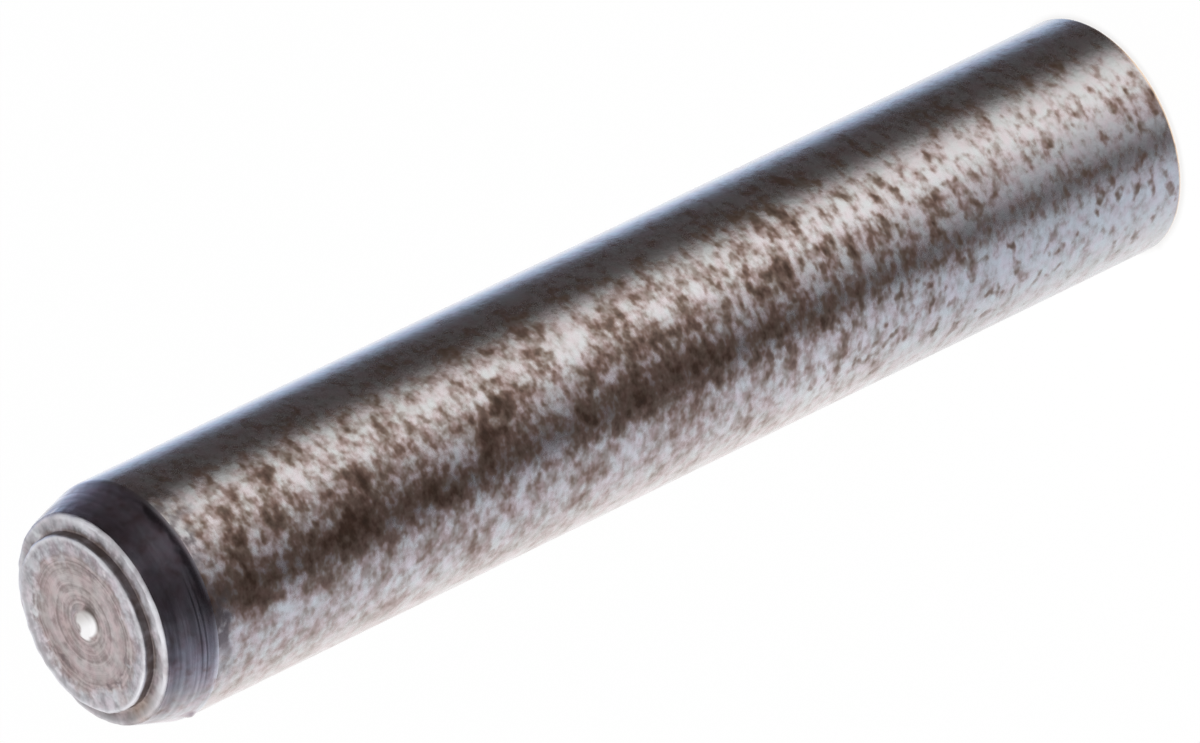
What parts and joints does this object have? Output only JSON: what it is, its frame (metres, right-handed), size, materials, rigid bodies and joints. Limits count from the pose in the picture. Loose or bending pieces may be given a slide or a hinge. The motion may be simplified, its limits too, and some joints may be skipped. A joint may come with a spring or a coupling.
{
  "type": "dowel pin",
  "caption": "Parallel steel dowel pin with a ground shank, a lead-in cone and a turned end face, used to locate parts in reamed holes.",
  "frame": {"origin": "centre of the plain tail face that the pin stands on", "axes": "+Z along the pin's axis, from the tail face to the chamfered head end; X and Y are alike, because the pin is round"},
  "size_m": [0.006, 0.006, 0.032],
  "materials": {
    "steel": "ground bare steel, stained brown in places"
  },
  "bodies": {
    "root": {"dowel_pin": "steel"}
  },
  "joints": []
}
